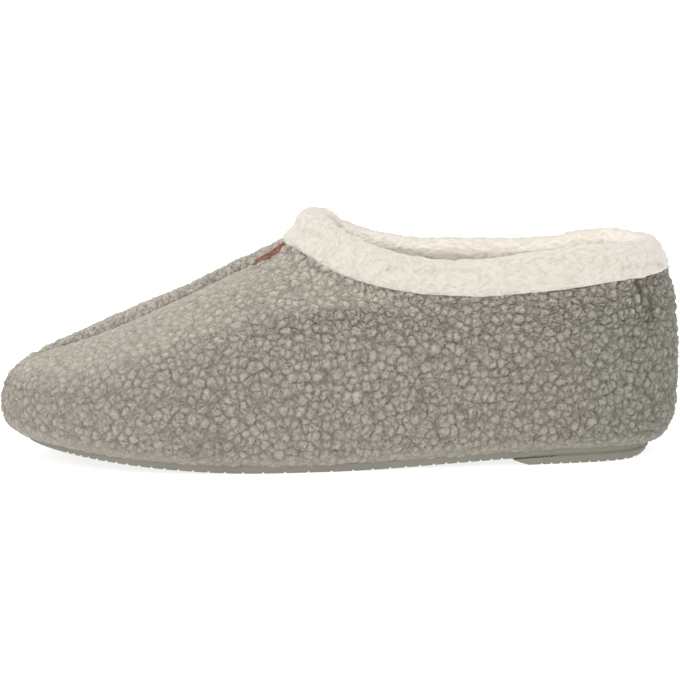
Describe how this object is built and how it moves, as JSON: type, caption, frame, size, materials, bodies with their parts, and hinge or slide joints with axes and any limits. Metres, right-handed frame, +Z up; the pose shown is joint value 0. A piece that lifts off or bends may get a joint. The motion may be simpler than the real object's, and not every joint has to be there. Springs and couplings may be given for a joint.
{
  "type": "closed-back slipper",
  "caption": "Closed-back house slipper for the left foot, with a looped-pile upper seamed along the vamp, a fleece cuff and insole, a leather throat tab and a thin notched rubber sole.",
  "frame": {"origin": "middle of the whole slipper's length and breadth, on the floor it stands on", "axes": "+X from the toe to the heel, -Y to the outer side of the foot, +Y to its inner side, +Z up"},
  "size_m": [0.2549, 0.0976, 0.0933],
  "materials": {
    "boucle_taupe": "matt curled pile",
    "fleece_cream": "matt brushed fleece",
    "rubber_grey": "matt moulded",
    "leather_brown": "smooth satin"
  },
  "bodies": {
    "root": {"outsole": "rubber_grey", "heel_lift": "rubber_grey", "upper": "boucle_taupe", "collar_cuff": "fleece_cream", "insole": "fleece_cream", "throat_tab": "leather_brown"}
  },
  "joints": []
}
